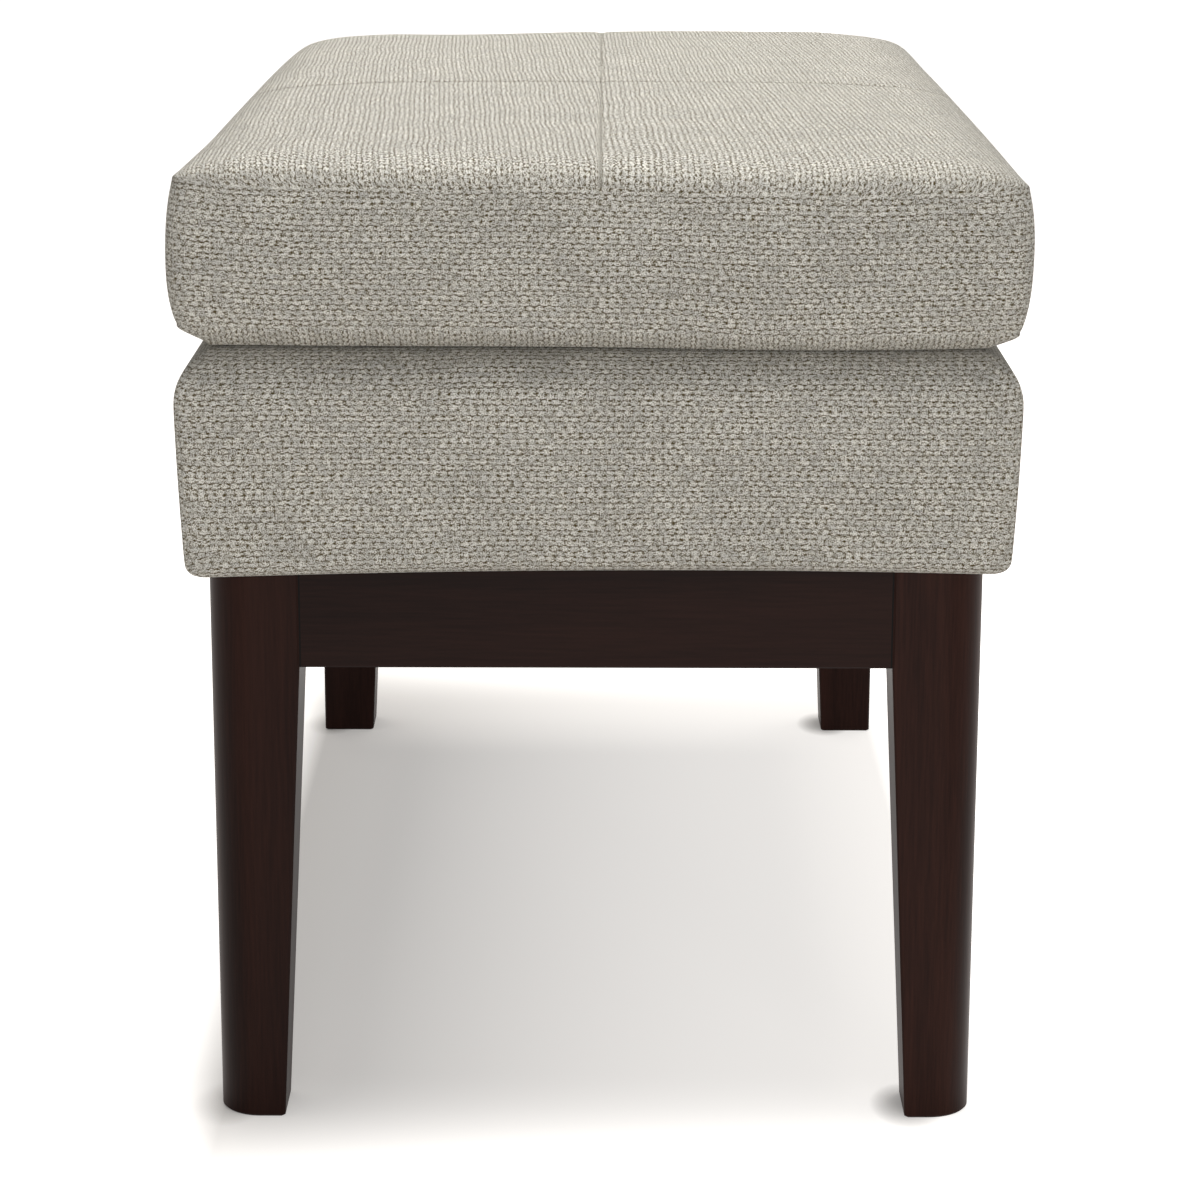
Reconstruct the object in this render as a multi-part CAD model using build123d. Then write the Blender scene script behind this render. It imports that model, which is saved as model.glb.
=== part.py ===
from build123d import *
import math
import os

# Ottoman bench: a wooden leg frame, an upholstered body on it and a crowned box cushion fixed on top.
# Millimetres, +Z up, origin on the floor under the middle of the bench.
# +X runs along the bench to the near end, +Y to the right as seen from that end.

# Heights of the three stages
frame_height = 286.0
body_height = 108.0
cushion_height = 90.0

# Leg frame
frame_length = 727.0
frame_width = 380.0
leg_top = 45.0
leg_foot = 33.5
leg_corner_radius = 21.0
leg_arris = 1.0
foot_ease = 1.0
apron_height = 51.0
apron_thickness = 20.0
apron_setback = 1.0
apron_arris = 1.0

# Joints of the leg frame
tenon_thickness = 10.0
tenon_height = 35.0
tenon_length = 18.0
tenon_end_gap = 1.0
bolt_flat = 9.0
block_gap = 2.0
block_thickness = 28.0
block_height = 40.0
tongue_width = 12.0
tongue_depth = 6.0
bolt_clearance = 0.6
hanger_diameter = 8.0
hanger_depth = 32.0
hanger_tail = 4.0
hanger_washer_width = 20.0
hanger_washer_thickness = 1.6
hanger_nut_width = 13.0
hanger_nut_height = 6.5

# Frame inside the upholstered body
rail_thickness = 20.0
housing_depth = 6.0
deck_thickness = 12.0
deck_pad_thickness = 20.0
cross_rail_height = 55.0
cross_rail_distance = 125.0
plate_side = 110.0
plate_tip = 15.0
plate_thickness = 15.0
lag_diameter = 6.0
lag_depth = 12.0
lag_distance = 22.0
lag_head_width = 10.0
lag_head_height = 4.0

# Cloth and the room left between soft layers
fabric = 1.6
dust_cloth = 0.8
layer_gap = 0.3

# Upholstered body, measured out from the leg faces
hem_overhang = 10.5
shoulder_overhang = 13.5
shoulder_radius = 26.0
hem_radius = 8.0
body_corner_radius = 8.0
turn_under = 45.0
deck_turn_in = 60.0
dust_cover_gap = 1.0

# Cushion, measured out from the leg faces and up from its underside
belly_overhang = 16.0
belly_rise = 43.0
cushion_corner_radius = 12.0
top_seam_inset = 6.0
bottom_seam_inset = 4.0
bottom_seam_rise = 10.0
underside_inset = 12.0
crown_height = 11.5
crown_peak = 0.25
crown_margin = 8.0
crown_stations = 6
batting_thickness = 10.0

# Levels worked out from the sizes above
apron_bottom = frame_height - apron_height
apron_middle = frame_height - apron_height / 2
block_bottom = frame_height - block_height
rail_bottom = frame_height + fabric
body_top = frame_height + body_height
deck_top = body_top - fabric - layer_gap - deck_pad_thickness
rail_top = deck_top - deck_thickness
plate_top = rail_bottom + plate_thickness
seat_top = body_top + cushion_height
top_seam = seat_top - crown_height
bottom_seam = body_top + bottom_seam_rise
panel_edge = top_seam - 2 * fabric

# Faces worked out from the sizes above, as distances from the middle of the bench
leg_x = frame_length / 2
leg_y = frame_width / 2
leg_inner_x = leg_x - leg_top
leg_inner_y = leg_y - leg_top
apron_x = leg_x - apron_setback - apron_thickness / 2
apron_y = leg_y - apron_setback - apron_thickness / 2
apron_inner_x = apron_x - apron_thickness / 2
apron_inner_y = apron_y - apron_thickness / 2
rail_inner_x = leg_x - rail_thickness
rail_inner_y = leg_y - rail_thickness
body_x = leg_x + shoulder_overhang
body_y = leg_y + shoulder_overhang
belly_x = leg_x + belly_overhang
belly_y = leg_y + belly_overhang
seam_x = belly_x - top_seam_inset
seam_y = belly_y - top_seam_inset

DIAGONAL = Vector(1, 1, 0).normalized()
ACROSS_DIAGONAL = Vector(-1, 1, 0).normalized()
UP = Vector(0, 0, 1)
DOWN = Vector(0, 0, -1)
ALONG = Vector(1, 0, 0)
SIDEWAYS = Vector(0, 1, 0)

# A length that reaches past the bench from its middle, for cutting shapes
BEYOND = frame_length + frame_width + seat_top

corners = {"near_right": (1, 1), "near_left": (1, -1), "far_right": (-1, 1), "far_left": (-1, -1)}


def box_between(low, high):
    """Box from one corner point to the opposite one."""
    size = [high[axis] - low[axis] for axis in range(3)]
    middle = [(high[axis] + low[axis]) / 2 for axis in range(3)]
    return Pos(*middle) * Box(*size)


def slab(half_x, half_y, low, high):
    """Box centred on the vertical axis, between two heights."""
    return box_between((-half_x, -half_y, low), (half_x, half_y, high))


def prism(points, low, high):
    """Upright prism on an outline given in plan."""
    return Pos(0, 0, low) * extrude(make_face(Polyline(*points, close=True)), amount=high - low)


def rod(start, direction, diameter, length):
    """Cylinder from a point along a direction."""
    stand = (Align.CENTER, Align.CENTER, Align.MIN)
    return Plane(origin=start, z_dir=direction) * Cylinder(diameter / 2, length, align=stand)


def hexagon(start, direction, width, height):
    """Hexagonal prism, as wide across its flats as given."""
    outline = RegularPolygon(width / math.sqrt(3), 6)
    return Plane(origin=start, z_dir=direction) * extrude(outline, amount=height)


def at_corner(piece, sides):
    """Piece made for the near right corner, mirrored to the corner on the given sides."""
    if sides[0] < 0:
        piece = mirror(piece, Plane.YZ)
    if sides[1] < 0:
        piece = mirror(piece, Plane.XZ)
    return piece


def at_every_corner(pieces):
    """Copies of some near right pieces at all four corners, as one list."""
    return [at_corner(piece, sides) for sides in corners.values() for piece in pieces]


# Corner block and its fixings at the near right corner, placed along the diagonal from the leg's inner corner
leg_inner_corner = Vector(leg_inner_x, leg_inner_y, apron_middle)
flat_reach = bolt_flat / 2
block_outer_reach = flat_reach - block_gap
block_inner_reach = block_outer_reach - block_thickness
outer_sum = leg_inner_x + leg_inner_y + block_outer_reach * math.sqrt(2)
inner_sum = leg_inner_x + leg_inner_y + block_inner_reach * math.sqrt(2)
tongue_y = (outer_sum + inner_sum) / 2 - apron_inner_x
tongue_x = (outer_sum + inner_sum) / 2 - apron_inner_y

# Hanger bolt through the block into the leg, drawn up by a nut on a square washer
hanger_seat = leg_inner_corner + DIAGONAL * block_inner_reach
nut_seat = hanger_seat - DIAGONAL * hanger_washer_thickness
hanger_start = nut_seat - DIAGONAL * (hanger_nut_height + hanger_tail)
hanger_end = leg_inner_corner + DIAGONAL * (flat_reach + hanger_depth)
hanger_length = (hanger_end - hanger_start).length
hanger_bolt = rod(hanger_start, DIAGONAL, hanger_diameter, hanger_length)
hanger_hole = rod(hanger_start, DIAGONAL, hanger_diameter + bolt_clearance, hanger_length)
washer_plane = Plane(origin=hanger_seat, x_dir=UP, z_dir=-DIAGONAL)
washer_outline = Rectangle(hanger_washer_width, hanger_washer_width)
hanger_washer = extrude(washer_plane * washer_outline, amount=hanger_washer_thickness) - hanger_hole
hanger_nut = hexagon(nut_seat, -DIAGONAL, hanger_nut_width, hanger_nut_height) - hanger_bolt

# Lag screw up through the block, beside the hanger bolt, into the body's corner plate
block_axis = leg_inner_corner + DIAGONAL * (block_outer_reach + block_inner_reach) / 2
lag_axis = block_axis + ACROSS_DIAGONAL * lag_distance
lag_seat = Vector(lag_axis.X, lag_axis.Y, block_bottom)
lag_shank = rod(lag_seat, UP, lag_diameter, rail_bottom + lag_depth - block_bottom)
lag_screw = lag_shank + hexagon(lag_seat, DOWN, lag_head_width, lag_head_height)
lag_hole = rod(lag_seat, UP, lag_diameter + bolt_clearance, block_height)


def corner_tenons(length):
    """Tenons of both aprons into the near right leg, or their mortises when longer."""
    low = apron_middle - tenon_height / 2
    high = apron_middle + tenon_height / 2
    half = tenon_thickness / 2
    end_tenon = box_between(
        (apron_x - half, leg_inner_y, low), (apron_x + half, leg_inner_y + length, high)
    )
    side_tenon = box_between(
        (leg_inner_x, apron_y - half, low), (leg_inner_x + length, apron_y + half, high)
    )
    return [end_tenon, side_tenon]


def corner_tongues():
    """Tongues on the ends of the near right corner block, let into the aprons."""
    half = tongue_width / 2
    end_tongue = box_between(
        (apron_inner_x, tongue_y - half, block_bottom),
        (apron_inner_x + tongue_depth, tongue_y + half, frame_height),
    )
    side_tongue = box_between(
        (tongue_x - half, apron_inner_y, block_bottom),
        (tongue_x + half, apron_inner_y + tongue_depth, frame_height),
    )
    return [end_tongue, side_tongue]


def outward(corner):
    """How far a corner point of a section lies towards the near right of the bench."""
    return corner.X + corner.Y


def leg_section(level, ease):
    """Near right leg cut level at one height, set in by an ease: one large radius, three eased arrises."""
    taper_share = 1 - level / apron_bottom
    size = leg_top - (leg_top - leg_foot) * taper_share - 2 * ease
    square = Pos(leg_x - ease - size / 2, leg_y - ease - size / 2) * Rectangle(size, size)
    section = fillet(square.vertices().sort_by(outward)[-1], leg_corner_radius - ease)
    section = chamfer(section.vertices().sort_by(outward)[:3], leg_arris)
    return Pos(0, 0, level) * section


def make_leg():
    """Near right leg, with its eased toe, mortises, bolt flat and bolt hole."""
    toe = loft([leg_section(0, foot_ease), leg_section(foot_ease, 0)], ruled=True)
    shaft = loft([leg_section(foot_ease, 0), leg_section(apron_bottom, 0)], ruled=True)
    head = extrude(leg_section(apron_bottom, 0), amount=apron_height)
    flat_plane = Plane(
        origin=leg_inner_corner + DIAGONAL * flat_reach, x_dir=ACROSS_DIAGONAL, z_dir=-DIAGONAL
    )
    flat_cut = extrude(flat_plane * Rectangle(leg_top, BEYOND), amount=leg_top)
    flat_cut &= slab(BEYOND, BEYOND, block_bottom - block_gap, BEYOND)
    mortises = corner_tenons(tenon_length + tenon_end_gap)
    return toe + shaft + head - [flat_cut, hanger_bolt, *mortises]


def make_corner_block():
    """Near right corner block, a bar across the corner with a tongue on each mitred end."""
    outline = [
        (apron_inner_x, outer_sum - apron_inner_x),
        (apron_inner_x, inner_sum - apron_inner_x),
        (inner_sum - apron_inner_y, apron_inner_y),
        (outer_sum - apron_inner_y, apron_inner_y),
    ]
    block = prism(outline, block_bottom, frame_height)
    return block + corner_tongues() - [hanger_hole, lag_hole]


def make_apron(low, high, run, tenons, grooves):
    """Apron between two corner points in plan, its lower long edges eased, with tenons and grooves."""
    apron = box_between((*low, apron_bottom), (*high, frame_height))
    lower_edges = apron.edges().filter_by(run).sort_by(Axis.Z)[:2]
    apron = chamfer(lower_edges, apron_arris)
    return apron + tenons - grooves


def make_corner_plate():
    """Near right corner plate, let into both rails, with its tips cut off and the lag screw's hole."""
    outer_x = rail_inner_x + housing_depth
    outer_y = rail_inner_y + housing_depth
    outline = [
        (outer_x, outer_y),
        (outer_x, rail_inner_y - plate_side),
        (rail_inner_x - plate_tip, rail_inner_y - plate_side),
        (rail_inner_x - plate_side, rail_inner_y - plate_tip),
        (rail_inner_x - plate_side, outer_y),
    ]
    return prism(outline, rail_bottom, plate_top) - lag_shank


def make_dust_cover():
    """Thin cloth under the body, cut to the inside of the aprons and corner blocks."""
    half_x = apron_inner_x - dust_cover_gap
    half_y = apron_inner_y - dust_cover_gap
    corner_sum = inner_sum - dust_cover_gap * math.sqrt(2)
    right = [(half_x, corner_sum - half_x), (corner_sum - half_y, half_y)]
    right += [(-x, y) for x, y in reversed(right)]
    left = [(x, -y) for x, y in reversed(right)]
    return prism(right + left, frame_height - dust_cloth, frame_height)


def in_both_views(outline, half_x, half_y):
    """Solid that shows the same kind of outline in its end view and in its side view."""
    end_view = extrude(Plane.YZ * outline(half_y), amount=BEYOND, both=True)
    side_view = extrude(Plane.XZ * outline(half_x), amount=BEYOND, both=True)
    return end_view & side_view


def rounded_column(half_x, half_y, radius):
    """Tall block with rounded upright corners."""
    return extrude(RectangleRounded(2 * half_x, 2 * half_y, radius), amount=BEYOND)


def both_halves(lines):
    """Face inside some lines that run from axis to axis on the right, and their mirror image."""
    half = make_face(lines)
    return half + mirror(half, Plane.YZ)


def body_form(inset):
    """Upholstered body, set in from its outside: round hem, leaning sides and a round shoulder."""
    shoulder_level = body_top - shoulder_radius
    hem_level = frame_height + hem_radius
    lean = shoulder_overhang - hem_overhang
    low = frame_height + inset
    high = body_top - inset

    def outline(half):
        hem_middle = half - lean - hem_radius
        hem_turn = (hem_radius - inset) / math.sqrt(2)
        shoulder_middle = half - shoulder_radius
        shoulder_turn = (shoulder_radius - inset) / math.sqrt(2)
        hem_end = (half - lean - inset, hem_level)
        shoulder_start = (half - inset, shoulder_level)
        hem = ThreePointArc(
            (hem_middle, low), (hem_middle + hem_turn, hem_level - hem_turn), hem_end
        )
        side = Line(hem_end, shoulder_start)
        shoulder = ThreePointArc(
            shoulder_start,
            (shoulder_middle + shoulder_turn, shoulder_level + shoulder_turn),
            (shoulder_middle, high),
        )
        inside = Polyline((shoulder_middle, high), (0, high), (0, low), (hem_middle, low))
        return both_halves([hem, side, shoulder, inside])

    form = in_both_views(outline, body_x, body_y)
    return form & rounded_column(body_x - inset, body_y - inset, body_corner_radius - inset)


def crown_share(share):
    """Height of the crown, 1 at its peak, a share of the way from a middle seam to the outer seam."""
    return 1 - ((share - crown_peak) / (1 - crown_peak)) ** 2


def crown_level(x, y):
    """Height of the cushion's top over a point of its near right panel."""
    return top_seam + crown_height * crown_share(x / seam_x) * crown_share(y / seam_y)


def crown_section(x):
    """Cross-section under the cushion's top, with one arc over each of the two panels."""
    reach = seam_y + crown_margin
    edge = (reach, crown_level(x, reach))
    valley = (0, crown_level(x, 0))
    arc = ThreePointArc(edge, (reach / 2, crown_level(x, reach / 2)), valley)
    inside = Polyline(valley, (0, body_top), (reach, body_top), edge)
    section_plane = Plane(origin=(x, 0, 0), x_dir=SIDEWAYS, z_dir=ALONG)
    return section_plane * both_halves([arc, inside])


def make_crown_block():
    """Block under the cushion's four crowned panels, which meet in valleys at the two middle seams."""
    reach = seam_x + crown_margin
    places = [reach * station / (crown_stations - 1) for station in range(crown_stations)]
    near_half = loft([crown_section(place) for place in places])
    return near_half + mirror(near_half, Plane.YZ)


crown_block = make_crown_block()


def cushion_form(inset):
    """Whole cushion, set in from its outside: turned lower edge, bulged sides and crowned top."""
    low = body_top + inset
    high = top_seam - inset

    def outline(half):
        foot = (half - underside_inset, low)
        lower_seam = (half - bottom_seam_inset - inset, bottom_seam)
        upper_seam = (half - top_seam_inset - inset, high)
        lower_edge = TangentArc(foot, lower_seam, tangent=(1, 0))
        belly = ThreePointArc(lower_seam, (half - inset, body_top + belly_rise), upper_seam)
        inside = Polyline(upper_seam, (upper_seam[0], BEYOND), (0, BEYOND), (0, low), foot)
        return both_halves([lower_edge, belly, inside])

    form = in_both_views(outline, belly_x, belly_y)
    form &= rounded_column(belly_x - inset, belly_y - inset, cushion_corner_radius - inset)
    return form & Pos(0, 0, -inset) * crown_block


def mitred_regions(depth):
    """Prisms that share a ring between the four sides, meeting on the diagonals at the corners."""
    out_x = body_x + depth
    out_y = body_y + depth
    in_x = body_x - depth
    in_y = body_y - depth
    near = prism([(out_x, out_y), (in_x, in_y), (in_x, -in_y), (out_x, -out_y)], 0, BEYOND)
    right = prism([(out_x, out_y), (in_x, in_y), (-in_x, in_y), (-out_x, out_y)], 0, BEYOND)
    return {
        "near": near,
        "far": mirror(near, Plane.YZ),
        "right": right,
        "left": mirror(right, Plane.XZ),
    }


nodes = {}

# Wooden leg frame
leg = make_leg()
corner_block = make_corner_block()
for corner, sides in corners.items():
    nodes[f"leg_{corner}"] = at_corner(leg, sides)
    nodes[f"corner_block_{corner}"] = at_corner(corner_block, sides)
end_tenon, side_tenon = corner_tenons(tenon_length)
end_tongue, side_tongue = corner_tongues()
end_apron = make_apron(
    (apron_inner_x, -leg_inner_y),
    (apron_inner_x + apron_thickness, leg_inner_y),
    Axis.Y,
    [end_tenon, mirror(end_tenon, Plane.XZ)],
    [end_tongue, mirror(end_tongue, Plane.XZ)],
)
side_apron = make_apron(
    (-leg_inner_x, apron_inner_y),
    (leg_inner_x, apron_inner_y + apron_thickness),
    Axis.X,
    [side_tenon, mirror(side_tenon, Plane.YZ)],
    [side_tongue, mirror(side_tongue, Plane.YZ)],
)
nodes["apron_near"] = end_apron
nodes["apron_far"] = mirror(end_apron, Plane.YZ)
nodes["apron_right"] = side_apron
nodes["apron_left"] = mirror(side_apron, Plane.XZ)
nodes["hanger_bolts"] = at_every_corner([hanger_bolt])
nodes["hanger_washers"] = at_every_corner([hanger_washer])
nodes["hanger_nuts"] = at_every_corner([hanger_nut])
nodes["lag_screws"] = at_every_corner([lag_screw])

# Frame of the upholstered body
corner_plate = make_corner_plate()
corner_plates = at_every_corner([corner_plate])
housed_y = rail_inner_y + housing_depth
end_rail = box_between((rail_inner_x, -housed_y, rail_bottom), (leg_x, housed_y, rail_top))
cross_rail = box_between(
    (cross_rail_distance - rail_thickness / 2, -housed_y, rail_top - cross_rail_height),
    (cross_rail_distance + rail_thickness / 2, housed_y, rail_top),
)
side_rail = box_between((-leg_x, rail_inner_y, rail_bottom), (leg_x, leg_y, rail_top))
side_rail -= [*at_every_corner([end_rail, cross_rail]), *corner_plates]
end_rail -= corner_plates
nodes["rail_right"] = side_rail
nodes["rail_left"] = mirror(side_rail, Plane.XZ)
nodes["rail_near"] = end_rail
nodes["rail_far"] = mirror(end_rail, Plane.YZ)
nodes["cross_rail_near"] = cross_rail
nodes["cross_rail_far"] = mirror(cross_rail, Plane.YZ)
for corner, sides in corners.items():
    nodes[f"corner_plate_{corner}"] = at_corner(corner_plate, sides)
nodes["deck_board"] = slab(leg_x, leg_y, rail_top, deck_top)

# Padding and cover of the body
filling_inset = fabric + layer_gap
body_filling = body_form(filling_inset)
side_filling = body_filling & slab(BEYOND, BEYOND, 0, deck_top)
side_filling -= slab(leg_x, leg_y, 0, BEYOND)
nodes["deck_pad"] = body_filling & slab(BEYOND, BEYOND, deck_top, BEYOND)
body_cover = body_form(0) - body_form(fabric)
underside_opening = slab(body_x - turn_under, body_y - turn_under, 0, rail_bottom)
deck_lining_place = slab(body_x - deck_turn_in, body_y - deck_turn_in, deck_top, BEYOND)
for side, region in mitred_regions(body_y / 2).items():
    nodes[f"side_pad_{side}"] = side_filling & region
    nodes[f"body_cover_{side}"] = (body_cover & region) - [underside_opening, deck_lining_place]
nodes["deck_lining"] = body_cover & deck_lining_place
nodes["dust_cover"] = make_dust_cover()

# Cushion: sewn cover, batting that gives it its crown, and a square foam core
cushion_cover = cushion_form(0) - cushion_form(fabric)
nodes["cushion_underside"] = cushion_cover & slab(BEYOND, BEYOND, 0, bottom_seam)
nodes["cushion_boxing"] = cushion_cover & slab(BEYOND, BEYOND, bottom_seam, panel_edge)
near_right_quarter = box_between((0, 0, panel_edge), (BEYOND, BEYOND, BEYOND))
for corner, sides in corners.items():
    nodes[f"cushion_top_{corner}"] = cushion_cover & at_corner(near_right_quarter, sides)
core_x = seam_x - filling_inset - batting_thickness
core_y = seam_y - filling_inset - batting_thickness
core_top = top_seam - filling_inset - batting_thickness
core = slab(core_x, core_y, body_top + fabric, core_top)
nodes["cushion_core"] = core
nodes["cushion_batting"] = cushion_form(filling_inset) - core

os.makedirs("parts", exist_ok=True)
for name, shape in nodes.items():
    pieces = shape if isinstance(shape, list) else [shape]
    solids = [solid for piece in pieces for solid in piece.solids()]
    export_step(Compound(solids), f"parts/{name}.step")
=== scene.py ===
import math
import bmesh
import bpy
from mathutils import Matrix, Vector, noise


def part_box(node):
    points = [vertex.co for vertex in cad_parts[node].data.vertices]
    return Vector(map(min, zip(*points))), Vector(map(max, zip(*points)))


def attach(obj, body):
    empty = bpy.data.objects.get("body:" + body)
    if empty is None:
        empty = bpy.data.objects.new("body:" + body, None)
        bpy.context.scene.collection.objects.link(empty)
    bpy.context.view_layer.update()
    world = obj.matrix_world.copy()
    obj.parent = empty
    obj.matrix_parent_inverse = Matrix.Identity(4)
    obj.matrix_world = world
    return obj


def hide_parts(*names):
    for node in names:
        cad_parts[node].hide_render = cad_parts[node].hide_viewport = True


# Ottoman bench: upholstery, finishes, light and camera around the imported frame.
# Metres, +Z up, +X to the near end of the bench, +Y to the right as seen from there.
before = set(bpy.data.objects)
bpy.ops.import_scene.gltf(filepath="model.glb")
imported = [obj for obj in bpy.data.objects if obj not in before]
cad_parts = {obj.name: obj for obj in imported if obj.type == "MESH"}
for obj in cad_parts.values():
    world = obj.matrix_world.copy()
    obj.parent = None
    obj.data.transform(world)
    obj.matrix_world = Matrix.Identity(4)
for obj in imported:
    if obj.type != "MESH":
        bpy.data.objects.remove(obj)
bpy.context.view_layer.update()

MM = 0.001
NEAR_ZERO = 1e-9
X_AXIS, Y_AXIS, Z_AXIS = 0, 1, 2
scene = bpy.context.scene

# Sizes taken from the frame
LEG_LOW = Vector(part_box("leg_near_right")[0])
LEG_HIGH = Vector(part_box("leg_near_right")[1])
BODY_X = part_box("body_cover_near")[1][0]
BODY_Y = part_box("body_cover_right")[1][1]
BODY_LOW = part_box("body_cover_near")[0][2]
BODY_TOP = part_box("deck_lining")[1][2]
BELLY_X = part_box("cushion_boxing")[1][0]
BELLY_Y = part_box("cushion_boxing")[1][1]
BOTTOM_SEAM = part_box("cushion_boxing")[0][2]
SEAT_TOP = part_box("cushion_top_near_right")[1][2]

# Room left between layers that rest on each other
LAYER_GAP = 0.3 * MM

# How far the upholstery sits to the right of the leg frame
CUSHION_SHIFT = 0.9 * MM
BODY_SHIFT = 1.0 * MM

# Mesh pitch of the upholstery, and the stations beside seams and corners
PITCH = 8.5 * MM
SEAM_STATIONS = [0, 1.3 * MM, 3.6 * MM, 8 * MM]
CORNER_STATIONS = [14 * MM, 9 * MM, 5 * MM, 2 * MM, 0]
CORNER_ZONE = CORNER_STATIONS[0]

# Places of the panels on the flat map of the weave, well apart from each other
CUSHION_TOP_AT = (2.0, 2.0)
BOXING_AT = (4.0, 2.0)
UNDERSIDE_AT = (6.0, 5.0)
BODY_SIDES_AT = (8.0, 8.0)
BODY_DECK_AT = (11.0, 8.0)

# Crown of the cushion's top, and how it rises from the edge seam
CROWN = 11.5 * MM
CROWN_END_REACH = 50 * MM
CROWN_SIDE_REACH = 62 * MM
CROWN_POWER = 3.6
END_ROLL = 0.65
SIDE_ROLL = 0.3
EDGE_ROLL_REACH = 13 * MM
TOP_SEAM = SEAT_TOP - CROWN
# Share of the edge's fall by which the cloth is longer than its plan
EDGE_STRETCH = 0.7

# Valleys at the middle seams of the cushion's top, and its slight unevenness
MIDDLE_VALLEY = 0.25 * MM
MIDDLE_VALLEY_REACH = 16 * MM
MIDDLE_GROOVE = 1.1 * MM
MIDDLE_GROOVE_REACH = 1.8 * MM
VALLEY_FADE = 25 * MM
WAVE = 0.4 * MM
WAVE_SCALE = 14
WAVE_SLICE = 3.7
WAVE_FADE = 40 * MM

# Slant of the rows of weave on the cushion's top, left and right of the middle
SLANT_LEFT = 0.045
SLANT_MIDDLE = 0.01
SLANT_RISE = 0.1
SLANT_BEND = 0.65

# Boxing of the cushion: its rings as shares of the way down, and how it is drawn in at its seams
BOXING_SHARES = [0.025, 0.06, 0.12, 0.2, 0.3, 0.4, 0.5, 0.6, 0.7, 0.8, 0.88, 0.94, 0.975, 1.0]
BOXING_HEIGHT = TOP_SEAM - BOTTOM_SEAM
BOXING_RADIUS = 14 * MM
BELLY_SHARE = 0.52
BELLY_RING = 7
TOP_SEAM_INSET = 4.1 * MM
TOP_SEAM_RADIUS = 6 * MM
BOTTOM_SEAM_INSET = 4.6 * MM
UPPER_BULGE_POWER = 2.5
LOWER_BULGE_POWER = 2.8
SEAM_GROOVE = 0.3 * MM
SEAM_TUCK = 0.4 * MM
# Length of the bulged boxing as a multiple of its height
BOXING_STRETCH = 1.03

# Rim that turns in under the cushion, as shares of the way from the bottom seam to the underside
RIM_SHARES = [0.06, 0.2, 0.4, 0.6, 0.8, 0.93, 1.0]
RIM_DROP = BOTTOM_SEAM - BODY_TOP - LAYER_GAP
RIM_POWER = 1.5
RIM_SETTLE = 0.35
UNDER_INSET = 17 * MM
UNDER_RADIUS = 9 * MM

# Rise and dip along the cushion's ends, and sag along its sides; reaches and places are shares
END_RISE = 3.4 * MM
END_RISE_REACH = 0.16
END_DIP = 2.6 * MM
END_DIP_PLACE = 0.5
END_DIP_REACH = 0.38
END_LIFT_START = 0.45
SIDE_SAG = 2.0 * MM
SIDE_SAG_START = 0.93

# Upright tips of the cushion's near corners, and droop of its far corners and far edge
EAR_LEFT = 2.6 * MM
EAR_RIGHT = 2.0 * MM
EAR_REACH = 14 * MM
FAR_DROOP_LEFT = 5.5 * MM
FAR_DROOP_RIGHT = 8 * MM
FAR_CORNER_REACH = 32 * MM
FAR_EDGE_DROP = 1.2 * MM
FAR_EDGE_START = 0.3

# Bow and lean of the finished cushion
CROSS_SEAM_BOW = 15 * MM
SIDE_BOW = 1.3 * MM
TOP_LEAN = 1.0 * MM

# Swelling of the cushion's cloth: pressure, greatest movement of a point and frames
SWELL_PRESSURE = 1.0
SWELL_MOST = 0.8 * MM
SWELL_FRAMES = 20

# Body: shoulder, leaning sides, hem and corner seams
BODY_BASE = BODY_LOW + LAYER_GAP
BODY_DECK = BODY_TOP - LAYER_GAP
SHOULDER_RADIUS = 26 * MM
SHOULDER_STEPS = 8
BODY_LEAN = 3 * MM
SIDE_SWELL = 0.4 * MM
SIDE_STEPS = 9
HEM_RADIUS = 8 * MM
HEM_STEPS = 5
HEM_LEVEL = BODY_LOW + HEM_RADIUS
HEM_INNER = 1.8 * MM
BODY_CORNER_RADIUS = 8 * MM
BODY_LEAST_RADIUS = 4 * MM
CORNER_GROOVE = 0.9 * MM
CORNER_GROOVE_START = 2

# Bow of the hem between the body's corners, and where it fades
HEM_BOW = 3.5 * MM
HEM_DROP = 4.2 * MM
HEM_LEAN = 1.4 * MM
HEM_FADE = 60 * MM
HEM_END_START = 0.85
HEM_SIDE_START = 0.8

# Dust cloth
DUST_COLUMNS = 40
DUST_ROWS = 22
DUST_SAG = 2.0 * MM
DUST_WRINKLE = 0.5 * MM
DUST_WRINKLE_SCALE = 9
DUST_WRINKLE_SLICE = 1.3
DUST_THICKNESS = 0.5 * MM
DUST_EDGE = 1e-5

# Weave of the upholstery cloth: rows in threes, made of short floats
ROW_PITCH = 2.62 * MM
FLOAT_LENGTH = 4.67 * MM
ROWS_IN_CYCLE = 3.0
ROW_OFFSET = 0.5
ROW_JITTER = 0.1
CELL_SLICE = 3.0

# Slow wander of the yarns, and small ripple of each row
WANDER_SCALE = 16
WANDER = 4 * MM
RIPPLE_SCALE = 140
RIPPLE_ALONG = 0.7 * MM
RIPPLE_ACROSS = 0.45 * MM

# Shape of a float: its roundness across the row and along it, and the hole at its ends
ROUND_ACROSS_POWER = 3.0
ROUND_ACROSS_DEPTH = 0.16
ROUND_ALONG_POWER = 4.0
ROUND_ALONG_DEPTH = 0.10
HOLE_ACROSS_POWER = 1.8
HOLE_ALONG_POWER = 2.6
HOLE_DEPTH = 3.2
HOLE_LEAST = 0.3
# Depth of the holes through a cycle of three rows
HOLE_DEPTHS = [(0.0, 0.55), (0.25, 0.8), (0.42, 0.2), (0.58, 0.38), (0.75, 0.38), (0.92, 0.5)]
# Mean over a float of its roundness across the row and of its hole
MEAN_ROUND = 0.25
MEAN_HOLE = 0.036

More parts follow.
